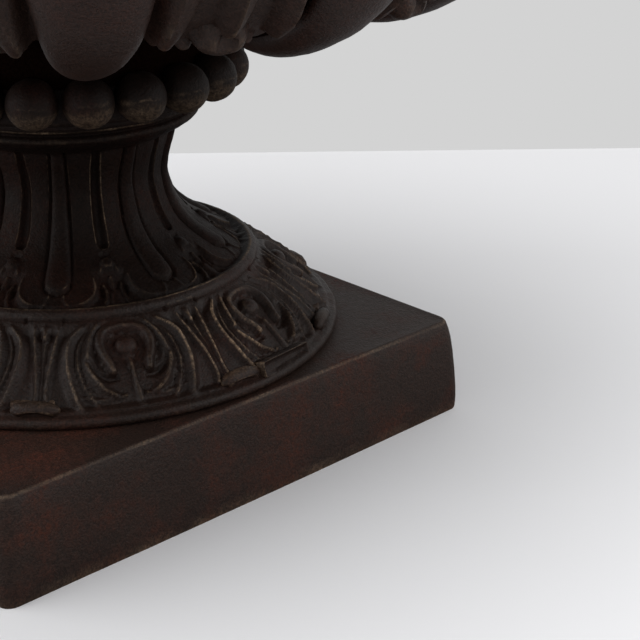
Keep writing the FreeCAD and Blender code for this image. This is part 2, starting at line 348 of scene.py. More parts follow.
def calc(tree, operation, *terms, clamp=False):
    inputs = dict(enumerate(terms))
    return add_node(tree, "ShaderNodeMath", inputs, operation=operation, use_clamp=clamp).outputs[0]


def texture(tree, place, scale, detail, roughness):
    return add_node(tree, "ShaderNodeTexNoise", {"Vector": place, "Scale": scale, "Detail": detail,
                                                 "Roughness": roughness}).outputs["Fac"]


def remap(tree, value, low, high, to_low=0.0, to_high=1.0):
    return add_node(tree, "ShaderNodeMapRange", {"Value": value, "From Min": low, "From Max": high,
                                                 "To Min": to_low, "To Max": to_high}).outputs[0]


def ramp(tree, value, low, high):
    """Black below one value and white above the other."""
    node = add_node(tree, "ShaderNodeValToRGB", {"Fac": value})
    node.color_ramp.elements[0].position = low
    node.color_ramp.elements[1].position = high
    return node.outputs[0]


def blend(tree, share, under, over):
    return add_node(tree, "ShaderNodeMix", {0: share, 6: under, 7: over}, data_type="RGBA").outputs[2]


def opaque(tone, tone_and_painted_light=1.0):
    """A colour with its alpha, made darker or lighter."""
    return (*(tone_and_painted_light * v for v in tone), 1.0)


def new_material(name):
    """A material with an empty node tree, and its place in the object's own coordinates."""
    m = bpy.data.materials.new(name)
    m.use_nodes = True
    m.node_tree.nodes.clear()
    return m, m.node_tree, add_node(m.node_tree, "ShaderNodeTexCoord").outputs["Object"]


def end_material(tree, **inputs):
    """The surface shader and the output. Underscores stand for the spaces in a socket's name."""
    sockets = {key.replace("_", " "): value for key, value in inputs.items()}
    shader = add_node(tree, "ShaderNodeBsdfPrincipled", sockets)
    add_node(tree, "ShaderNodeOutputMaterial", {0: shader.outputs[0]})


def cast_iron_material(name, rusty, worn, roughness, sheen, tone_and_painted_light, worn_and_highlit_place=(0.0, 0.0, 9.0)):
    """Sand-cast iron under old brown-black paint: matt to satin, blotched with rust, tan on worn edges."""
    c = bpy.context.scene.urn_colours
    m, t, place = new_material(name)
    # Rust: blotches of 30 to 60 mm, filled with freckles of 2 to 3 mm
    patch = ramp(t, texture(t, place, 22.0, 5.0, 0.62), 0.46, 0.70)
    freckle = texture(t, place, 330.0, 3.0, 0.7)
    filled = calc(t, "MULTIPLY", patch, ramp(t, freckle, 0.40, 0.72))
    whole = calc(t, "ADD", filled, calc(t, "MULTIPLY", patch, 0.45))
    rust = calc(t, "MULTIPLY", whole, rusty, clamp=True)
    # Chalky paint drifts over 80 mm
    chalk = calc(t, "MULTIPLY", texture(t, place, 12.0, 4.0, 0.55), worn * 1.6, clamp=True)
    # Paint and rust are made lighter or darker by the tone factor, which paints light and shade into them
    painted = blend(t, chalk, opaque(c.paint, tone_and_painted_light), opaque(c.paint_worn, tone_and_painted_light))
    rusted = blend(t, rust, painted, opaque(c.rust, tone_and_painted_light))
    # Worn edges: the sharper an edge, the more tan shows, in some areas more than in others, and broken up by
    # the freckles. The plinth, the leaf tips and the beads also carry wear and painted light in an attribute
    # of their own
    sharp = ramp(t, add_node(t, "ShaderNodeNewGeometry").outputs["Pointiness"], 0.525, 0.63)
    marked = add_node(t, "ShaderNodeAttribute", attribute_name="wear_and_painted_light").outputs["Fac"]
    areas = remap(t, texture(t, place, 27.0, 2.0, 0.5), 0.42, 0.66, 0.18)
    # Hands have worn one place down the most, within 50 mm, and there the tan is broader too. That tan is
    # also a painted highlight, where the light catches the crests of the foot and a rib of the stem
    away = add_node(t, "ShaderNodeVectorMath", {0: place, 1: worn_and_highlit_place}, operation="DISTANCE").outputs["Value"]
    wear_and_highlight_near = remap(t, away, 0.050, 0.025)
    spread = calc(t, "MAXIMUM", calc(t, "MAXIMUM", areas, wear_and_highlight_near), marked)
    specks = calc(t, "MULTIPLY", spread, remap(t, freckle, 0.38, 0.62, 0.25))
    force = calc(t, "MULTIPLY_ADD", wear_and_highlight_near, 1.6 * worn, worn)
    wear_and_painted_light = calc(t, "MULTIPLY", calc(t, "MAXIMUM", sharp, marked), specks)
    final = blend(t, calc(t, "MULTIPLY", wear_and_painted_light, force, clamp=True), rusted, opaque(c.edge))
    # Sand grain is 0.4 mm in the real skin, and is drawn at 1.3 mm so that it shows
    grain = texture(t, place, 760.0, 2.0, 0.6)
    grainy = add_node(t, "ShaderNodeVectorMath", {0: final, 1: remap(t, grain, 0.35, 0.65, 0.62, 1.38)},
                      operation="MULTIPLY")
    # Satin paint, duller where it rusts
    gloss = remap(t, freckle, 0.0, 1.0, roughness - 0.08, roughness + 0.16)
    dull = calc(t, "ADD", gloss, calc(t, "MULTIPLY", rust, 0.2), clamp=True)
    # Pits of 5 mm under the grain
    heights = calc(t, "ADD", grain, texture(t, place, 210.0, 3.0, 0.6))
    bump = add_node(t, "ShaderNodeBump", {"Height": heights, "Strength": 0.75, "Distance": 0.0006})
    end_material(t, Base_Color=grainy.outputs[0], Metallic=0.0, Roughness=dull, Specular_IOR_Level=sheen,
                 Normal=bump.outputs[0])
    return m


def zinc_steel_material():
    """Rolled steel with dull hot-dip zinc: soft metallic grey with a darker spangle of about 4 mm."""
    c = bpy.context.scene.urn_colours
    m, t, place = new_material("Galvanised_Steel_Dull")
    spangle = add_node(t, "ShaderNodeTexVoronoi", {"Vector": place, "Scale": 260.0}).outputs["Distance"]
    tone = add_node(t, "ShaderNodeValToRGB", {"Fac": spangle})
    tone.color_ramp.elements[0].color = opaque(c.steel, 0.55)
    tone.color_ramp.elements[1].color = opaque(c.steel)
    bump = add_node(t, "ShaderNodeBump", {"Height": texture(t, place, 500.0, 3.0, 0.5), "Strength": 0.3,
                                          "Distance": 0.0003})
    dull = remap(t, spangle, 0.0, 1.0, 0.42, 0.62)
    end_material(t, Base_Color=tone.outputs[0], Metallic=1.0, Roughness=dull, Normal=bump.outputs[0])
    return m


def floor_material(tone):
    """Matt painted board. What it throws back at the urn is dimmer than what the camera sees."""
    m, t, place = new_material("Matt_Board_Floor")
    # Painted shade: towards the back the board is made darker, as if it fell away from the light
    depth = add_node(t, "ShaderNodeVectorMath", {0: place, 1: CAMERA_AHEAD}, operation="DOT_PRODUCT")
    start = CAMERA_PLACE.dot(CAMERA_AHEAD)
    fall = remap(t, depth.outputs["Value"], start + 0.80, start + 1.22, 1.0, 0.84)
    seen = add_node(t, "ShaderNodeVectorMath", {0: tone, 1: fall}, operation="MULTIPLY").outputs[0]
    rays = add_node(t, "ShaderNodeLightPath").outputs["Is Camera Ray"]
    shown = blend(t, rays, opaque(tone, 0.30), seen)
    end_material(t, Base_Color=shown, Roughness=0.9, Specular_IOR_Level=0.1)
    return m


# The castings' skin in its states. The tone factor gives lighter and darker copies of one paint, standing in
# for light and shade: painted light on the bowl and its leaves, painted shade on the foot, the beads, the
# stem and the underside, and little change on the plinth and inside
IRON_STATES = {
    "iron_bowl": dict(name="Sand_Cast_Iron_Satin_Paint", rusty=0.2, worn=0.35, roughness=0.38, sheen=0.5,
                      tone_and_painted_light=1.5),
    "iron_leaf": dict(name="Sand_Cast_Iron_Rubbed_Paint", rusty=0.3, worn=0.8, roughness=0.44, sheen=0.35,
                      tone_and_painted_light=1.5),
    "iron_foot": dict(name="Sand_Cast_Iron_Old_Paint", rusty=0.5, worn=0.8, roughness=0.46, sheen=0.22,
                      tone_and_painted_light=0.64, worn_and_highlit_place=(0.004, -0.138, 0.098)),
    "iron_beads": dict(name="Sand_Cast_Iron_Grainy_Paint", rusty=0.5, worn=0.5, roughness=0.56, sheen=0.2,
                       tone_and_painted_light=0.5),
    "iron_stem": dict(name="Sand_Cast_Iron_Paint_In_Painted_Shade", rusty=0.45, worn=0.7, roughness=0.52, sheen=0.1,
                      tone_and_painted_light=0.36, worn_and_highlit_place=(-0.040, -0.066, 0.165)),
    "iron_inside": dict(name="Sand_Cast_Iron_Soil_Stained", rusty=0.8, worn=0.15, roughness=0.66, sheen=0.12,
                        tone_and_painted_light=0.85),
    "iron_plinth": dict(name="Sand_Cast_Iron_Rusting_Paint", rusty=0.8, worn=0.85, roughness=0.52, sheen=0.26,
                        tone_and_painted_light=0.93),
    # Painted shade: dark, dull paint for the bowl's underside, the wall behind the beads and the bowl's
    # drains
    "iron_painted_shade": dict(name="Sand_Cast_Iron_Painted_Shade", rusty=0.0, worn=0.0, roughness=0.8, sheen=0.0,
                       tone_and_painted_light=0.4),
}
made_materials = {}


def material(key):
    """Each material is made once and shared."""
    if key not in made_materials:
        made = zinc_steel_material() if key == "steel" else cast_iron_material(**IRON_STATES[key])
        made_materials[key] = made
    return made_materials[key]


# Plinth

PLINTH_TOP_SIDE = 352.0
PLINTH_FLARE = (PLINTH_FOOT_SIDE - PLINTH_TOP_SIDE) / 2
PLINTH_WALL = 9.0
PLINTH_CORNER = 9.0
PLINTH_ARRIS = 2.2
PLINTH_DRAIN = 28.0
PLINTH_DRAIN_REACH = 45.0
PLINTH_SLICES = 19
PLINTH_WAVE = 38.0
# Height on the plinth's side, and how far the side stands out there beyond a straight flare
PLINTH_SIDE_WAYS = (0.0, 1.5, 4.0, 8.0, 15.0, 27.0, 42.0, 52.0, 58.0, 62.0, 64.5)
PLINTH_SIDE_LIFTS = (-2.4, -1.2, -0.5, 0.3, 1.2, 2.0, 2.4, 2.2, 1.5, 0.6, 0.0)


def cut_across(bm, place, normal):
    """Cuts every face along a plane and keeps both sides."""
    bmesh.ops.bisect_plane(bm, geom=bm.verts[:] + bm.edges[:] + bm.faces[:], dist=0.001, plane_co=place,
                           plane_no=normal)


class URN_OT_plinth(Operator):
    """Square plinth with flaring sides, worn arrises and an open underside"""
    bl_idname = "urn.plinth"
    bl_label = "Plinth"

    def execute(self, context):
        bm = bmesh.new()
        bmesh.ops.create_cube(bm, size=1.0)
        bmesh.ops.scale(bm, vec=(PLINTH_FOOT_SIDE, PLINTH_FOOT_SIDE, PLINTH_TOP), verts=bm.verts)
        bmesh.ops.translate(bm, vec=(0, 0, PLINTH_TOP / 2), verts=bm.verts)
        for v in bm.verts:
            if v.co.z > PLINTH_TOP / 2:
                v.co.x -= math.copysign(PLINTH_FLARE, v.co.x)
                v.co.y -= math.copysign(PLINTH_FLARE, v.co.y)
        # Hollow underside: the bottom face is inset for the wall and pushed up to the plate
        bottom = min(bm.faces, key=lambda f: f.calc_center_median().z)
        bmesh.ops.inset_region(bm, faces=[bottom], thickness=PLINTH_WALL, use_even_offset=True)
        for v in bottom.verts:
            v.co.z = 0
        up = bmesh.ops.extrude_face_region(bm, geom=[bottom])
        bmesh.ops.delete(bm, geom=[bottom], context="FACES")
        for v in [g for g in up["geom"] if isinstance(g, bmesh.types.BMVert)]:
            v.co.z = PLINTH_TOP - PLINTH_WALL
            v.co.x *= 1 - PLINTH_FLARE / (PLINTH_FOOT_SIDE / 2)
            v.co.y *= 1 - PLINTH_FLARE / (PLINTH_FOOT_SIDE / 2)
        bmesh.ops.recalc_face_normals(bm, faces=bm.faces)
        upright = [e for e in bm.edges if abs(e.verts[0].co.z - e.verts[1].co.z) > PLINTH_TOP / 2
                   and max(abs(v.co.x) for v in e.verts) > PLINTH_TOP_SIDE / 2 - 2]
        round_edges(bm, upright, PLINTH_CORNER, 8)
        arris = [e for e in bm.edges if all(abs(v.co.z - PLINTH_TOP) < 0.1 for v in e.verts)
                 and len(e.link_faces) == 2 and e.calc_face_angle(0) > 0.5]
        round_edges(bm, arris, PLINTH_ARRIS, 4)
        self.cut_up(bm)
        self.wear_down(bm)
        self.drill(bm)
        finish_piece(bm, "plinth_casting", "plinth", "iron_plinth", sharp=50)
        return {"FINISHED"}

    def cut_up(self, bm):
        """Cuts the long faces into pieces that can be moved."""
        cuts = [-PLINTH_FOOT_SIDE / 2 + PLINTH_FOOT_SIDE * k / PLINTH_SLICES for k in range(1, PLINTH_SLICES)]
        cuts += [PLINTH_TOP_SIDE / 2 - 4, 4 - PLINTH_TOP_SIDE / 2]
        for place in cuts:
            for axis in ((1, 0, 0), (0, 1, 0)):
                cut_across(bm, Vector(axis) * place, axis)
        for level in PLINTH_SIDE_WAYS[1:-2]:
            cut_across(bm, (0, 0, level), (0, 0, 1))

    def wear_down(self, bm):
        """A worn casting is not quite true. The sides bulge, the most at the corners, and the plate sags."""
        bm.normal_update()
        wear_and_painted_light = bm.verts.layers.float.new("wear_and_painted_light")
        for v in bm.verts:
            half = PLINTH_TOP_SIDE / 2 + PLINTH_FLARE * (1 - v.co.z / PLINTH_TOP)
            if max(abs(v.co.x), abs(v.co.y)) > half - 3.5:
                corner = (abs(v.co.x * v.co.y) / half ** 2) ** 2
                lift = float(np.interp(v.co.z, PLINTH_SIDE_WAYS, PLINTH_SIDE_LIFTS)) * (0.4 + 0.6 * corner)
                side = Vector((v.normal.x, v.normal.y, 0))
                v.co += side * (lift + 0.35 * noise.noise(v.co / PLINTH_WAVE))
                # Wear and painted highlight: a thin pale line just under the top arris. Dust along the foot
                # of each side
                edge = 0.66 - abs(v.co.z - PLINTH_TOP + 1.0)
                v[wear_and_painted_light] = max(0.0, edge, 0.35 * (1 - v.co.z / 7.0))
            elif v.co.z > PLINTH_TOP - 0.4 or PLINTH_TOP - 12 < v.co.z < PLINTH_TOP - 6:
                v.co.z -= 0.3 + 0.3 * noise.noise(v.co / PLINTH_WAVE)

    def drill(self, bm):
        """The drain hole through the plate."""
        hole = [f for f in bm.faces
                if abs(f.normal.z) > 0.9 and f.calc_center_median().xy.length < PLINTH_DRAIN]
        bmesh.ops.delete(bm, geom=hole, context="FACES")
        rims = [e for e in bm.edges
                if e.is_boundary and max(v.co.xy.length for v in e.verts) < PLINTH_DRAIN_REACH]
        bmesh.ops.delete(bm, geom=[v for v in bm.verts if not v.link_faces], context="VERTS")
        for v in {v for e in rims if e.is_valid for v in e.verts}:
            v.co.xy = v.co.xy.normalized() * PLINTH_DRAIN
        bmesh.ops.bridge_loops(bm, edges=[e for e in rims if e.is_valid])
        bmesh.ops.recalc_face_normals(bm, faces=bm.faces)


# Foot

# Outline of the foot, radius and height: ring on the plinth, leaf band, fillet ring, stem, neck
FOOT_RING = ((170.4, 64.5), (172.3, 66.4), (172.5, 68.6), (171.2, 70.7), (168.6, 71.6), (167.0, 72.2))
BAND = ((167.0, 72.2), (164.0, 76.8), (157.0, 84.2), (150.0, 91.0), (142.0, 97.0), (134.0, 102.8),
        (126.0, 107.3), (119.5, 110.2))
FILLET_RING = ((119.5, 110.2), (119.4, 112.6), (118.0, 115.0), (115.5, 116.2))
STEM = ((115.5, 116.2), (108.0, 120.0), (99.0, 125.0), (91.0, 130.0), (82.0, 136.0), (75.0, 143.0),
        (70.0, 151.0), (67.0, 160.0), (65.0, 170.0), (66.0, 180.0), (69.0, 190.0), (71.5, 199.0))
NECK_RINGS = (((71.5, 199.0), (74.0, 201.2)),
              ((74.0, 201.2), (80.0, 203.8), (83.8, 207.6), (83.6, 210.2), (81.6, 211.6)),
              ((81.6, 211.6), (82.0, 213.0), (84.6, 214.2), (84.9, 215.5)))
BAND_BACK = ((107, 112), (150, 82), (158, 64.5))
STEM_BACK = ((70, 215.5), (57, 200), (55, 165), (66, 140), (92, 118), (107, 112))

# Leaf of the band, about its own middle: lift share and power, then turn, way and half width of each point
LEAF_LINES = (
    (0.30, -1.2, ((0.0, 66, 3.0), (0.0, 40, 3.0), (0.0, 8, 3.0))),
    (0.80, 0.7, ((-0.2, 62, 3.4), (-0.2, 55, 2.0))),
)
LEAF_SIDE_LINES = (
    (0.62, -1.4, ((3.6, 66, 4.2), (2.9, 56, 4.4), (2.3, 47, 4.2), (1.7, 38, 3.8), (1.2, 28, 3.4),
                  (1.0, 18, 3.2), (1.6, 10, 3.0))),
    (1.00, -1.5, ((9.6, 62, 5.0), (6.6, 54, 6.0), (5.5, 45, 6.2), (5.6, 35, 6.2), (6.3, 25, 6.0),
                  (7.2, 16, 5.5), (8.2, 8, 4.5))),
    (0.46, -1.0, ((11.0, 61, 2.4), (8.9, 53, 2.8), (7.9, 44, 2.8), (7.9, 35, 2.8), (8.8, 25, 2.8),
                  (10.4, 16, 2.6), (12.0, 9, 2.2))),
    (0.86, -1.3, ((13.4, 63, 4.0), (11.6, 55, 5.5), (10.6, 46, 5.5), (10.4, 37, 5.5), (11.3, 28, 5.5),
                  (13.2, 20, 5.0), (15.6, 15, 3.5))),
)
# Keyhole shell round a ball on a stalk, about its own middle
SHELL_TURN = FOOT_PITCH / 2
SHELL_SIDE_LINES = (
    (0.78, 0.6, ((0.0, 61.2, 3.0), (3.4, 60.2, 3.3), (5.7, 56.4, 3.5), (6.5, 50.0, 3.6), (6.0, 42.5, 3.5),
                 (4.8, 36.0, 3.1), (4.2, 30.0, 2.5))),
    (0.25, 1.0, ((2.0, 14.8, 1.4), (5.0, 13.2, 2.0), (8.5, 13.6, 2.0), (11.5, 15.5, 1.6))),
    (0.30, 1.2, ((8.4, 32.0, 1.6), (9.9, 24.0, 2.0), (9.2, 17.5, 1.6))),
)
SHELL_LINES = (
    (1.10, 0.5, ((0.1, 47.4, 7.0), (0.1, 46.8, 7.0))),
    (0.42, 0.8, ((0.1, 42.0, 2.2), (0.3, 32.0, 1.9), (0.4, 22.0, 2.1), (0.7, 12.0, 2.6), (0.8, 5.5, 2.2))),
)
SHELL_HOLLOWS = (
    (-0.40, 1.2, ((3.6, 26.0, 2.2), (6.0, 26.5, 3.0), (8.2, 31.0, 2.8), (9.4, 38.0, 2.2))),
)
SHELL_GROUND = ((1.0, 0.6, ((0.0, 50, 9.5), (0.0, 42, 7.5))),)
# Stem: rib, the grooves beside it, the slot between two panels, and the round end of each panel
STEM_RIB = ((1.0, 0.42, ((0.0, 22.6, 7.7), (0.0, 32, 7.3), (0.0, 44, 6.6), (0.0, 61, 5.6), (0.3, 80, 4.6),
                         (0.7, 96, 4.2), (0.9, 107, 3.8))),)
STEM_RIB_GROOVE = ((-1.0, 0.8, ((0.0, 22.6, 10.4), (0.0, 32, 10.0), (0.0, 44, 9.2), (0.0, 61, 8.0),
                                (0.3, 80, 6.8), (0.7, 96, 6.3), (0.9, 107, 5.8))),)
STEM_SLOT = ((-1.0, 0.8, ((20.6, 49.0, 3.9), (20.8, 62, 3.8), (20.9, 82, 3.3), (21.0, 106, 3.0))),)
PANEL_END_WAYS = (3.4, 4.1, 5.0, 7.2, 12.5, 19.0, 26.0)
PANEL_END_TURNS = (0.0, 5.0, 8.3, 11.0, 13.6, 14.9, 14.6)
PANEL_RIM = (
    (0.7, 0.8, ((7.0, 5.6, 1.2), (10.0, 7.4, 2.0), (12.6, 12.0, 2.3), (13.9, 18.0, 2.3), (13.8, 25.0, 1.5))),
    (0.5, 0.8, ((4.2, 4.5, 0.8), (2.8, 10.0, 1.3), (2.4, 15.5, 0.8))),
)
# Dart between two panels: a small leaf under a ball, with a curl each side
DART = (
    (0.7, 0.7, ((20.0, 25.0, 1.8), (20.0, 17.0, 3.0), (20.0, 9.0, 4.4), (20.0, 5.0, 3.8))),
    (1.0, 0.5, ((20.0, 35.0, 4.4), (20.0, 34.4, 4.4))),
)
DART_SIDES = (
    (0.55, 0.9, ((12.6, 2.2, 1.3), (14.7, 4.6, 1.9), (16.6, 9.4, 1.9), (17.4, 16.2, 1.4), (16.6, 21.0, 1.2))),
    (0.4, 0.9, ((16.4, 29.0, 1.2), (17.4, 33.0, 1.4), (18.0, 37.0, 1.1))),
)
DART_EYES = (
    (-0.6, 0.9, ((15.4, 18.5, 1.7), (15.6, 14.0, 1.5))),
    (-0.5, 0.9, ((19.0, 18.6, 1.0), (19.2, 16.5, 1.0))),
    (-0.5, 0.8, ((20.0, 41.5, 1.4), (18.4, 41.2, 1.2))),
)
# A leaf tab hangs over the fillet ring below each rib, between two notches
TAB_TURN = -2.4
TAB_HALF_TURN = 4.7
# The way at the band's lower corner, as its lines count it
BAND_START = 5.0
# Depths of the grounds that the ornament stands on, and how far a stem panel rises from its own
BAND_GROUND = 4.4
KEYHOLE_GROUND = 1.8
STEM_GROUND = 6.2
PANEL_RELIEF = 2.8


def tab_lift(turn, above_ring_foot):
    """Lift of the tab under each rib, and of the small notches beside its lower end."""
    off = np.abs((turn - TAB_TURN + FOOT_PITCH / 2) % FOOT_PITCH - FOOT_PITCH / 2)
    notch = ease(1.3 - np.abs(off - TAB_HALF_TURN - 0.6) / 0.5) * ease(1.4 - np.abs(above_ring_foot) / 1.2)
    return 0.4 * ease((TAB_HALF_TURN - off) / 0.5) - 1.3 * notch


class URN_OT_foot_band(Operator):
    """Ring on the plinth and the sloping band of leaves and keyhole shells"""
    bl_idname = "urn.foot_band"
    bl_label = "Foot Band"

    def execute(self, context):
        sizes = context.scene.urn_sizes
        ridge = sizes.ridge_relief / MM
        ball = sizes.shell_relief / MM
        lathe = Lathe(outline((FOOT_RING, BAND, FILLET_RING), 1.05), BAND_BACK, FOOT_REPEATS, 100)
        lathe.ways = lathe.ways - lathe.way_of(BAND[0]) + BAND_START
        end = lathe.way_at(BAND[-1][1])

        def relief(turn, way, radius):
            in_band = ease((way - 5.5) / 5.0) * ease((end - 0.5 - way) / 9.0)
            field = lambda lines: line_field(lathe, lines, turn, way, radius)
            leaf = field(mirrored(LEAF_SIDE_LINES) + list(LEAF_LINES)) * ridge
            # The ground inside the keyhole is sunk, and its ball and ridges stand on it
            sunk = KEYHOLE_GROUND * field(moved(SHELL_GROUND, SHELL_TURN))
            shell = field(mirrored(SHELL_SIDE_LINES, SHELL_TURN) + moved(SHELL_LINES, SHELL_TURN)) * ball
            hollow = field(mirrored(SHELL_HOLLOWS, SHELL_TURN)) * ball
            lift = np.maximum(leaf, shell - sunk) - np.where(shell > 0.3, 0, 0.6 * sunk) + hollow
            on_ring = ease(way - end + 2.0) * ease(end + 4.0 - way)
            tab = tab_lift(turn + BAND_TURN - STEM_TURN, way - end) * on_ring
            return (lift - BAND_GROUND) * in_band + tab

        bm = lathe.build(relief, BAND_TURN)
        roughen(bm, sizes.casting_waviness / MM, 3.1)
        finish_piece(bm, "foot_band", "foot", "iron_foot")
        return {"FINISHED"}


# Rolled leaf tips: half depth and half height, place at the foot's edge, and one that has slipped sideways
TIP_DEPTH = 5.2
TIP_HEIGHT = 5.6
TIP_UNDERCUT = 4.6
TIP_PLACE = (164.6, 0, 74.4)
TIP_LEAN = -20
TIP_SLIP = -0.8
SLIPPED_TIP = 6
SLIPPED_TIP_SLIP = 3.2


class URN_OT_leaf_tips(Operator):
    """Rolled tips of the nine leaves at the foot's edge, each undercut below"""
    bl_idname = "urn.leaf_tips"
    bl_label = "Leaf Tips"

    def execute(self, context):
        sizes = context.scene.urn_sizes
        half = sizes.tip_length / MM / 2
        bm = bmesh.new()
        for k in range(FOOT_REPEATS):
            roll = bmesh.ops.create_uvsphere(bm, u_segments=40, v_segments=28, radius=1.0)["verts"]
            for v in roll:
                # Blunt ends, and an undercut below the front
                x, y, z = v.co
                y = math.copysign(abs(y) ** 0.85, y)
                under = max(0.0, 1 - (y / 0.78) ** 2 - ((z + 0.72) / 0.60) ** 2) if x > 0 else 0.0
                v.co = (TIP_DEPTH * x - TIP_UNDERCUT * min(1.0, 1.5 * under) * x, half * y, TIP_HEIGHT * z)
            slip = SLIPPED_TIP_SLIP if k == SLIPPED_TIP else TIP_SLIP
            round_foot = turned(BAND_TURN + FOOT_PITCH * k + slip)
            place = round_foot @ Matrix.Translation(TIP_PLACE) @ turned(TIP_LEAN, "Y")
            bmesh.ops.transform(bm, verts=roll, matrix=place)
        bmesh.ops.recalc_face_normals(bm, faces=bm.faces)
        roughen(bm, 1.6 * sizes.casting_waviness / MM, 2.9, 6.0)
        # Painted light: faces that look up are made paler, as if lit from above
        wear_and_painted_light = bm.verts.layers.float.new("wear_and_painted_light")
        for v in bm.verts:
            v[wear_and_painted_light] = 0.22 * max(0.0, v.normal.z - 0.35)
        finish_piece(bm, "leaf_tips", "foot", "iron_foot", sharp=70)
        return {"FINISHED"}


BAR_SIZE = (9.0, 47.0, 10.0)
BAR_LIP = 2.6
BAR_HOLLOW = 3.0
BAR_ROUND = 1.1
BAR_PLACE = (165.2, 0, 73.0)
BAR_TURN = -77.0


class URN_OT_bent_leaf_tip(Operator):
    """One leaf's tip, bent over into a straight bar at the foot's edge"""
    bl_idname = "urn.bent_leaf_tip"
    bl_label = "Bent Leaf Tip"

    def execute(self, context):
        bm = bmesh.new()
        bmesh.ops.create_cube(bm, size=1.0)
        bmesh.ops.scale(bm, vec=BAR_SIZE, verts=bm.verts)
        front = max(bm.faces, key=lambda f: f.calc_center_median().x)
        bmesh.ops.inset_region(bm, faces=[front], thickness=BAR_LIP, use_even_offset=True)
        for v in front.verts:
            v.co.x -= BAR_HOLLOW
        round_edges(bm, bm.edges[:], BAR_ROUND, 3)
        long_edges = [e for e in bm.edges if e.calc_length() > BAR_SIZE[2] * 2]
        bmesh.ops.subdivide_edges(bm, edges=long_edges, cuts=18, use_grid_fill=True)
        # The bar leans back, and its right end drops
        turn_all(bm, -16, "Y")
        turn_all(bm, -4, "X")
        bmesh.ops.translate(bm, vec=BAR_PLACE, verts=bm.verts)
        turn_all(bm, BAR_TURN)
        bmesh.ops.recalc_face_normals(bm, faces=bm.faces)
        roughen(bm, 1.5 * context.scene.urn_sizes.casting_waviness / MM, 4.4, 7.0)
        finish_piece(bm, "bent_leaf_tip", "foot", "iron_foot", sharp=60)
        return {"FINISHED"}


class URN_OT_stem(Operator):
    """Ribbed stem with petals at the foot of each rib"""
    bl_idname = "urn.stem"
    bl_label = "Stem"

    def execute(self, context):
        sizes = context.scene.urn_sizes
        rib = sizes.rib_relief / MM
        lathe = Lathe(outline((STEM, *NECK_RINGS), 1.0), STEM_BACK, FOOT_REPEATS, 78)
        top = lathe.way_of(STEM[-1])

        def relief(turn, way, radius):
            field = lambda lines: line_field(lathe, lines, turn, way, radius)
            off = np.abs((turn + FOOT_PITCH / 2) % FOOT_PITCH - FOOT_PITCH / 2)
            beside = (np.interp(way, PANEL_END_WAYS, PANEL_END_TURNS) - off) * radius * math.pi / 180
            above = way - np.interp(off, PANEL_END_TURNS[:-1], PANEL_END_WAYS[:-1])
            panel = np.maximum(ease(np.minimum(beside, above) / 2.4), ease((way - 21) / 12))
            lift = rib * field(STEM_RIB) + 2.8 * field(STEM_RIB_GROOVE) + 3.8 * field(STEM_SLOT)
            lift += 1.5 * field(mirrored(PANEL_RIM)) * (field(STEM_RIB) < 0.05)
            lift += 2.8 * (field(mirrored(DART_SIDES) + list(DART)) + field(mirrored(DART_EYES)))
            lift += PANEL_RELIEF * panel
            return (lift - STEM_GROUND) * ease(way / 6.0) * ease((top - way) / 2.5)

        bm = lathe.build(relief, STEM_TURN)
        roughen(bm, sizes.casting_waviness / MM, 5.7)
        finish_piece(bm, "stem", "foot", "iron_stem")
        return {"FINISHED"}


# The web across the neck: its heights, and the radii of its bore, its drains' edges and its rim
WEB_LOW = 160.5
WEB_HIGH = 170.5
WEB_RADII = (8.4, 20.0, 31.0, 41.0, 57.5)
WEB_DRAIN = 5.5
LUGS = 4
LUG_SIZE = (26.0, 26.0, 12.9)
LUG_PLACE = (147.8, 0, PLINTH_TOP + 6.6)


class URN_OT_foot_inside(Operator):
    """Web across the stem with its two drains, and the four lugs that the screws pull on"""
    bl_idname = "urn.foot_inside"
    bl_label = "Foot Inside"

    def execute(self, context):
        bm = Lathe([(r, WEB_LOW) for r in WEB_RADII], [(r, WEB_HIGH) for r in WEB_RADII[::-1]], 48, 1).build()
        for side in (1, -1):
            drain = [f for f in bm.faces if abs(f.normal.z) > 0.9
                     and WEB_RADII[2] < side * f.calc_center_median().x < WEB_RADII[3]
                     and abs(f.calc_center_median().y) < WEB_DRAIN]
            bmesh.ops.delete(bm, geom=drain, context="FACES")
            bmesh.ops.bridge_loops(bm, edges=[e for e in bm.edges if e.is_boundary])
        for k in range(LUGS):
            lug = bmesh.ops.create_cube(bm, size=1.0)["verts"]
            bmesh.ops.scale(bm, vec=LUG_SIZE, verts=lug)
            made = round_edges(bm, [e for e in bm.edges if all(v in lug for v in e.verts)], 1.5, 2)
            lug = {v for v in lug if v.is_valid} | set(made["verts"])
            place = turned(45 + 90 * k) @ Matrix.Translation(LUG_PLACE)
            bmesh.ops.transform(bm, verts=list(lug), matrix=place)
        bmesh.ops.recalc_face_normals(bm, faces=bm.faces)
        finish_piece(bm, "foot_inside", "foot", "iron_plinth")
        return {"FINISHED"}


# Bowl

# Outlines under the bowl, radius and height: two thin rings, the cove behind the beads, the underside
COLLAR = (((84.9, 215.5), (88.0, 216.2), (90.6, 218.0), (91.0, 220.4)),
          ((91.0, 220.4), (93.6, 220.8), (96.2, 222.6), (96.9, 225.4)),
          ((96.9, 225.4), (96.0, 231.0), (94.5, 238.0), (92.0, 246.0)),
          ((92.0, 246.0), (92.2, 261.8)))
UNDERSIDE = (((92.2, 261.8), (104.0, 267.0), (129.6, 273.0), (163.8, 277.9), (180.0, 281.5), (209.9, 288.5),
              (222.0, 292.0), (230.0, 295.0)),)
COLLAR_BACK = ((230, 303), (205, 296), (176, 287), (130, 277), (96, 270.5), (78, 258), (70, 248), (70, 215.5))
LEAF_ZONE = ((222.0, 292.0), (232.0, 295.8), (241.2, 300.4), (251.0, 307.0), (259.9, 315.5), (268.0, 325.5),
             (275.0, 337.0), (286.9, 359.0), (298.0, 381.0), (306.0, 398.2))
LEAF_ZONE_BACK = ((298, 398.2), (290, 383), (267, 339), (244, 310), (222, 300))
BEAD_PLACE = (101.5, 0, 236.2)
BEAD_SEAM = 237.0
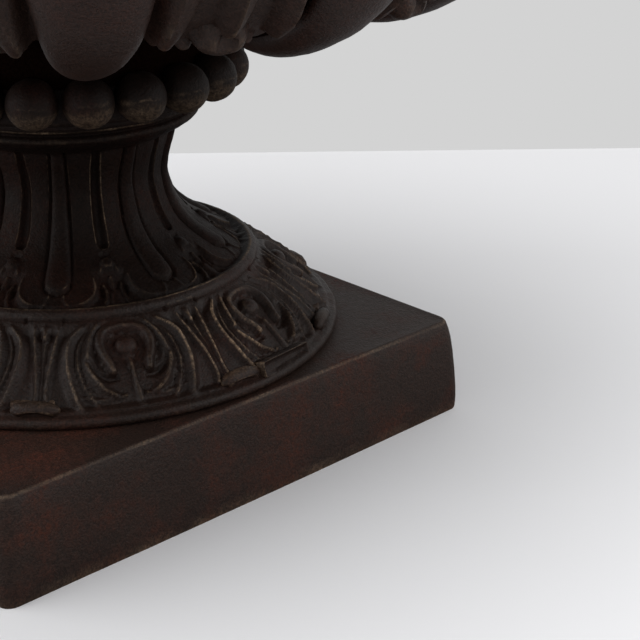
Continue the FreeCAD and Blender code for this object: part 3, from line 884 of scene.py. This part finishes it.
# Folds of the leaf between two lobes, about its middle, and the curl at its tip
BOWL_LEAF_LINES = (
    (1.00, 0.7, ((0.0, 30, 6.0), (0.0, 44, 8.5), (0.0, 80, 11.0), (0.0, 126, 12.5))),
)
BOWL_LEAF_SIDE_LINES = (
    (0.92, 0.7, ((7.0, 25, 6.5), (6.8, 40, 9.0), (6.3, 60, 10.5), (5.8, 90, 11.0), (6.0, 126, 10.5))),
)
BOWL_LEAF_VEINS = (
    (0.20, -1.0, ((0.0, 36, 2.0), (0.0, 80, 2.6), (0.0, 126, 3.0))),
    (0.16, -1.0, ((8.2, 20, 1.8), (7.4, 36, 2.2), (6.5, 60, 2.6), (5.9, 90, 2.6), (6.1, 126, 2.6))),
)
BOWL_LEAF_CURL = ((1.0, 0.6, ((-1.6, 25.0, 9.0), (-0.4, 22.5, 9.5), (0.9, 25.0, 9.0))),)
BOWL_LEAF_EYE = ((-1.0, 0.7, ((-0.8, 28.5, 3.0), (0.4, 28.5, 3.0))),)
BOWL_LEAF_BEAD = ((1.0, 0.5, ((3.9, 15.0, 3.6), (4.1, 15.0, 3.6))),)
LEAF_HALF_TURN = 8.9


class URN_OT_bead_ring(Operator):
    """Mouldings under the bowl and the ring of beads"""
    bl_idname = "urn.bead_ring"
    bl_label = "Bead Ring"

    def execute(self, context):
        sizes = context.scene.urn_sizes
        radius = sizes.bead_radius / MM
        bm = Lathe(outline((*COLLAR, *UNDERSIDE), 2.0), COLLAR_BACK, BEADS, 12).build()
        for i in range(BEADS):
            place = turned(180 / BEADS + 360 * i / BEADS) @ Matrix.Translation(BEAD_PLACE) @ turned(90, "Y")
            bmesh.ops.create_uvsphere(bm, u_segments=32, v_segments=20, radius=radius, matrix=place)
        roughen(bm, sizes.casting_waviness / MM, 8.3)
        # Painted light: the lower half of each bead is made tan up to the line where the mould's halves met,
        # as if lit from below, and that line itself is worn
        wear_and_painted_light = bm.verts.layers.float.new("wear_and_painted_light")
        for v in bm.verts:
            if v.co.z < 252 and v.co.xy.length > 97.5:
                seam = BEAD_SEAM + 1.8 * noise.noise(v.co / 14.0)
                v[wear_and_painted_light] = max(0.62 * float(ease((seam - v.co.z) / 7.0)), 0.7 - abs(v.co.z - seam) / 1.1, 0.0)
        # Painted shade: the underside and the wall behind the beads get a dark, dull paint
        for f in bm.faces:
            middle = f.calc_center_median()
            f.material_index = 1 if middle.z > 240 and (middle.xy.length < 93.0 or middle.z > 253) else 0
        piece = finish_piece(bm, "bead_ring", "bowl", "iron_beads")
        piece.data.materials.append(material("iron_painted_shade"))
        return {"FINISHED"}


class URN_OT_bowl_leaves(Operator):
    """Skin of the bowl between its lobes, carved with leaves whose tips curl over"""
    bl_idname = "urn.bowl_leaves"
    bl_label = "Bowl Leaves"

    def execute(self, context):
        sizes = context.scene.urn_sizes
        depth = sizes.leaf_relief / MM
        lathe = Lathe(outline((LEAF_ZONE,), 1.7), LEAF_ZONE_BACK, LOBES, 84)

        def relief(turn, way, radius):
            field = lambda lines: line_field(lathe, lines, turn, way, radius)
            fade = ease((lathe.ways[-1] - way) / 6)
            folds = field(mirrored(BOWL_LEAF_SIDE_LINES, LEAF_TURN) + moved(BOWL_LEAF_LINES, LEAF_TURN))
            veins = field(mirrored(BOWL_LEAF_VEINS, LEAF_TURN) + moved(BOWL_LEAF_VEINS[:1], LEAF_TURN))
            curl = 11.0 * field(moved(BOWL_LEAF_CURL, LEAF_TURN))
            curl += 4.5 * field(mirrored(BOWL_LEAF_BEAD, LEAF_TURN))
            leaf = np.maximum(depth * (folds + veins) * fade * ease((way + 3) / 22), curl)
            leaf += 4.0 * field(moved(BOWL_LEAF_EYE, LEAF_TURN))
            off = np.abs((turn - LEAF_TURN + LEAF_TURN) % (2 * LEAF_TURN) - LEAF_TURN)
            on_leaf = ease((LEAF_HALF_TURN - off) / 1.6)
            return leaf * on_leaf - 5.0 * (1 - on_leaf) * fade

        bm = lathe.build(relief, LOBE_TURN)
        roughen(bm, sizes.casting_waviness / MM, 11.9)
        finish_piece(bm, "bowl_leaves", "bowl", "iron_leaf")
        return {"FINISHED"}


# Path of a lobe over the bowl, from its tip to the cove: radius, height, half width and fullness
LOBE_PATH = ((168.0, 280.3, 9.0, 9.5), (209.9, 288.0, 17.5, 12.5), (241.2, 299.5, 22.0, 12.5),
             (259.9, 314.0, 26.0, 13.0), (275.0, 335.5, 30.5, 15.5), (286.9, 358.5, 35.0, 19.0),
             (298.0, 381.0, 37.0, 22.0), (307.5, 401.0, 37.5, 23.0))
LOBE_PATH_RELIEF = 24.0
LOBE_BACK = 9.5
# Lengths over which the lobe's tip and its top are rounded
LOBE_TIP_ROUND = 50.0
LOBE_TOP_ROUND = 22.0


def quarter_round(share):
    """The height of a quarter circle, from nought at its end to one at its top."""
    t = min(share, 1.0)
    return math.sqrt(max(0.0, 2 * t - t * t))


class URN_OT_lobes(Operator):
    """Twelve full round lobes with blunt tips"""
    bl_idname = "urn.lobes"
    bl_label = "Lobes"

    def execute(self, context):
        sizes = context.scene.urn_sizes
        path = np.array(smooth(LOBE_PATH, 12))
        ways = ways_along(path[:, :2])
        total = ways[-1]
        full = sizes.lobe_relief / MM / LOBE_PATH_RELIEF
        bm = bmesh.new()
        bmesh.ops.create_uvsphere(bm, u_segments=56, v_segments=80, radius=1.0)
        for v in bm.verts:
            along = (1 - v.co.z) / 2 * total
            rest = math.hypot(v.co.x, v.co.y)
            x, y = (v.co.x / rest, v.co.y / rest) if rest > 1e-6 else (0.0, 0.0)
            r, z, wide, high = [float(np.interp(along, ways, path[:, k])) for k in range(4)]
            ahead = [float(np.interp(min(along + 1, total), ways, path[:, k])) for k in range(2)]
            behind = [float(np.interp(max(along - 1, 0), ways, path[:, k])) for k in range(2)]
            d = Vector((ahead[0] - behind[0], ahead[1] - behind[1])).normalized()
            share = quarter_round(along / LOBE_TIP_ROUND) * quarter_round((total - along) / LOBE_TOP_ROUND)
            lift = (high * full if y > 0 else LOBE_BACK) * share * y
            v.co = Vector((r + lift * d.y, wide * share * x, z - lift * d.x))
        bmesh.ops.remove_doubles(bm, verts=bm.verts, dist=0.05)
        spin(bm, bm.verts[:] + bm.edges[:] + bm.faces[:], 360 - 360 / LOBES, LOBES - 1, copies=True)
        turn_all(bm, LOBE_TURN)
        bmesh.ops.recalc_face_normals(bm, faces=bm.faces)
        roughen(bm, 1.3 * sizes.casting_waviness / MM, 14.2, 16.0)
        finish_piece(bm, "bowl_lobes", "bowl", "iron_bowl")
        return {"FINISHED"}


RIM = (((306.0, 398.2), (302.4, 398.2)),
       ((302.4, 398.2), (312.0, 398.6), (318.0, 400.6), (318.4, 404.0), (315.5, 406.2)),
       ((315.5, 406.2), (311.0, 409.0)),
       ((311.0, 409.0), (314.0, 414.0), (322.0, 419.0), (338.0, 423.4), (347.0, 426.0)),
       ((347.0, 426.0), (356.0, 428.0), (359.4, 432.5), (358.0, 437.6), (353.4, 439.5)))
RIM_BACK = ((342, 439.5), (333, 434.4), (303, 415.3), (298, 398.2))
# Egg-and-dart moulding, sixty eggs round, between two heights
EGGS = 60
EGG_LOW = 410.0
EGG_HIGH = 425.8
EGG_HALF_TURN = 1.75


class URN_OT_rim(Operator):
    """Cove, egg-and-dart moulding and rolled lip"""
    bl_idname = "urn.rim"
    bl_label = "Rim"

    def execute(self, context):
        lathe = Lathe(outline(RIM, 1.3), RIM_BACK, EGGS, 16)
        low = lathe.way_at(EGG_LOW)
        high = lathe.way_at(EGG_HIGH)
        half = 180 / EGGS

        def relief(turn, way, radius):
            off = (turn + half) % (2 * half) - half
            share = (way - low) / (high - low)
            zone = (share > 0) & (share < 1)
            wide = EGG_HALF_TURN * np.sqrt(np.clip(share * 1.6, 0, 1))
            egg = np.clip(1 - (off / np.maximum(wide, 0.1)) ** 2 - ((share - 0.62) / 0.62) ** 4, 0, 1) ** 0.5
            dart = np.clip(1 - np.abs(np.abs(off) - half) / (0.45 * np.clip(share * 1.5, 0.1, 1)), 0, 1)
            shell = np.clip(1 - np.abs(np.abs(off) - wide - 0.35) / 0.28, 0, 1) * (share < 0.95)
            return np.where(zone, 3.2 * egg + 1.8 * dart + 1.4 * shell - 1.6, 0)

        bm = lathe.build(relief)
        roughen(bm, context.scene.urn_sizes.casting_waviness / MM, 17.3)
        finish_piece(bm, "rim", "bowl", "iron_bowl")
        return {"FINISHED"}


# The bowl's inside, radius and height: floor with its bolt hole, slope, brim, and back again in the wall
FLOOR_TOP = 269.5
FLOOR = ((8.4, FLOOR_TOP), (40.0, FLOOR_TOP))
SLOPE = ((70.0, FLOOR_TOP), (96.0, 274.0), (134.0, 281.0), (178.0, 292.5), (212.0, 302.0), (236.0, 312.0),
         (252.0, 325.0), (266.0, 344.0), (278.0, 366.0), (290.0, 388.0))
BRIM = ((303.1, 415.3), (333.0, 434.4), (342.0, 439.5))
WALL = ((329.0, 434.8), (298.0, 415.0), (284.0, 388.0), (262.0, 346.0), (246.0, 328.0), (208.0, 304.8),
        (176.0, 288.0), (96.0, 270.0), (70.0, 259.5), (8.4, 259.5))
BOWL_DRAIN = 6.0
BOWL_DRAIN_CIRCLE = 48.0


class URN_OT_bowl_inside(Operator):
    """Plain inside of the bowl, with two dark discs of painted shade on its floor for its drains"""
    bl_idname = "urn.bowl_inside"
    bl_label = "Bowl Inside"

    def execute(self, context):
        slope = spaced(smooth(SLOPE, 4), 6.0)
        bm = Lathe([*FLOOR, *slope, *BRIM], WALL, 36, 5).build()
        # Painted shade: the drains are dark discs laid just above the floor, not holes
        old = len(bm.faces)
        for side in (1, -1):
            place = Matrix.Translation((BOWL_DRAIN_CIRCLE * side, 0, FLOOR_TOP + 0.9))
            bmesh.ops.create_circle(bm, cap_ends=True, segments=24, radius=BOWL_DRAIN, matrix=place)
        bm.faces.ensure_lookup_table()
        for f in bm.faces[old:]:
            f.material_index = 1
        roughen(bm, 2 * context.scene.urn_sizes.casting_waviness / MM, 21.7, 20.0)
        piece = finish_piece(bm, "bowl_inside", "bowl", "iron_inside")
        piece.data.materials.append(material("iron_painted_shade"))
        return {"FINISHED"}


# Fasteners and stage

class URN_OT_fasteners(Operator):
    """Finish of the centre bolt, the foot screws, the nut and the washers, whose CAD shapes stay"""
    bl_idname = "urn.fasteners"
    bl_label = "Fasteners"

    def execute(self, context):
        for name in ("centre_bolt", "centre_washer", "web_washer", "centre_nut", "foot_screws",
                     "foot_screw_washers"):
            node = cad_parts[name]
            node.data.materials.clear()
            node.data.materials.append(material("steel"))
        return {"FINISHED"}


# The floor in metres, from the camera: it ends where the photograph's backdrop begins, a little askew
FLOOR_AHEAD = 1.544
FLOOR_BEHIND = 3.0
FLOOR_HALF_WIDTH = 4.0
FLOOR_SKEW = 0.164
WORLD_LIGHT = 0.56
# Soft lights: place, power, side and what it is aimed at
SOFTBOXES = {
    "overhead_softbox": ((-0.1, -0.1, 2.4), 42, 2.6, (0, 0, 0)),
    "left_softbox": ((-1.6, 0.8, 0.9), 21, 2.0, (0, 0, 0.25)),
    "right_softbox": ((1.0, -1.5, 0.9), 9, 1.2, (0, 0, 0.15)),
}


def aimed(thing, place, direction):
    """Puts a lamp or a camera at a place, looking along a direction."""
    thing.location = place
    thing.rotation_euler = direction.to_track_quat("-Z", "Y").to_euler()
    bpy.context.scene.collection.objects.link(thing)


class URN_OT_stage(Operator):
    """Pale floor, soft lights, grey backdrop and the camera"""
    bl_idname = "urn.stage"
    bl_label = "Stage"

    def execute(self, context):
        scene = context.scene
        self.make_floor(scene)
        self.make_world(scene)
        for name, (place, power, size, aim) in SOFTBOXES.items():
            data = bpy.data.lights.new(name, "AREA")
            data.shape = "SQUARE"
            data.size = size
            data.energy = power
            aimed(bpy.data.objects.new(name, data), place, Vector(aim) - Vector(place))
        data = bpy.data.cameras.new("camera")
        data.sensor_width = 36.0
        data.lens = CAMERA_LENS
        camera = bpy.data.objects.new("camera", data)
        down = Vector((0, 0, -math.sin(CAMERA_TILT)))
        aimed(camera, CAMERA_PLACE, CAMERA_AHEAD * math.cos(CAMERA_TILT) + down)
        scene.camera = camera
        scene.view_settings.view_transform = "Standard"
        return {"FINISHED"}

    def make_floor(self, scene):
        """A level board in front of the camera, facing up."""
        ground = Vector((CAMERA_PLACE.x, CAMERA_PLACE.y, 0))
        far = ground + CAMERA_AHEAD * FLOOR_AHEAD
        near = ground - CAMERA_AHEAD * FLOOR_BEHIND
        side = CAMERA_RIGHT * FLOOR_HALF_WIDTH
        skew = CAMERA_AHEAD * FLOOR_SKEW
        corners = (far - side - skew, near - side, near + side, far + side + skew)
        bm = bmesh.new()
        bm.faces.new([bm.verts.new(p) for p in corners])
        bmesh.ops.recalc_face_normals(bm, faces=bm.faces)
        for f in bm.faces:
            if f.normal.z < 0:
                f.normal_flip()
        mesh = bpy.data.meshes.new("floor")
        bm.to_mesh(mesh)
        bm.free()
        mesh.materials.append(floor_material(tuple(scene.urn_colours.floor)))
        floor = bpy.data.objects.new("floor", mesh)
        scene.collection.objects.link(floor)

    def make_world(self, scene):
        """White light all round, and a grey backdrop for the camera."""
        world = bpy.data.worlds.new("Studio")
        scene.world = world
        world.use_nodes = True
        t = world.node_tree
        t.nodes.clear()
        lit = add_node(t, "ShaderNodeBackground", {"Color": opaque((1, 1, 1)), "Strength": WORLD_LIGHT})
        grey = opaque(scene.urn_colours.backdrop)
        seen = add_node(t, "ShaderNodeBackground", {"Color": grey, "Strength": 1.0})
        rays = add_node(t, "ShaderNodeLightPath").outputs["Is Camera Ray"]
        mix = add_node(t, "ShaderNodeMixShader", {0: rays, 1: lit.outputs[0], 2: seen.outputs[0]})
        add_node(t, "ShaderNodeOutputWorld", {0: mix.outputs[0]})


# Panel and registration

PIECE_OPERATORS = (URN_OT_plinth, URN_OT_foot_band, URN_OT_leaf_tips, URN_OT_bent_leaf_tip, URN_OT_stem,
                   URN_OT_foot_inside, URN_OT_bead_ring, URN_OT_bowl_leaves, URN_OT_lobes, URN_OT_rim,
                   URN_OT_bowl_inside, URN_OT_fasteners, URN_OT_stage)


class URN_PT_panel(Panel):
    """Lists the urn's sizes, colours and pieces"""
    bl_idname = "URN_PT_panel"
    bl_label = "Garden Urn"
    bl_space_type = "VIEW_3D"
    bl_region_type = "UI"
    bl_category = "Garden Urn"

    def draw(self, context):
        for group in (context.scene.urn_sizes, context.scene.urn_colours):
            box = self.layout.box()
            for key in group.__annotations__:
                box.prop(group, key)
        for operator in PIECE_OPERATORS:
            self.layout.operator(operator.bl_idname)


CLASSES = (UrnSizes, UrnColours) + PIECE_OPERATORS + (URN_PT_panel,)


def register():
    for cls in CLASSES:
        bpy.utils.register_class(cls)
    bpy.types.Scene.urn_sizes = PointerProperty(type=UrnSizes)
    bpy.types.Scene.urn_colours = PointerProperty(type=UrnColours)


def unregister():
    del bpy.types.Scene.urn_colours
    del bpy.types.Scene.urn_sizes
    for cls in reversed(CLASSES):
        bpy.utils.unregister_class(cls)


def main():
    register()
    for operator in PIECE_OPERATORS:
        group, name = operator.bl_idname.split(".")
        getattr(getattr(bpy.ops, group), name)()


if __name__ == "__main__":
    main()
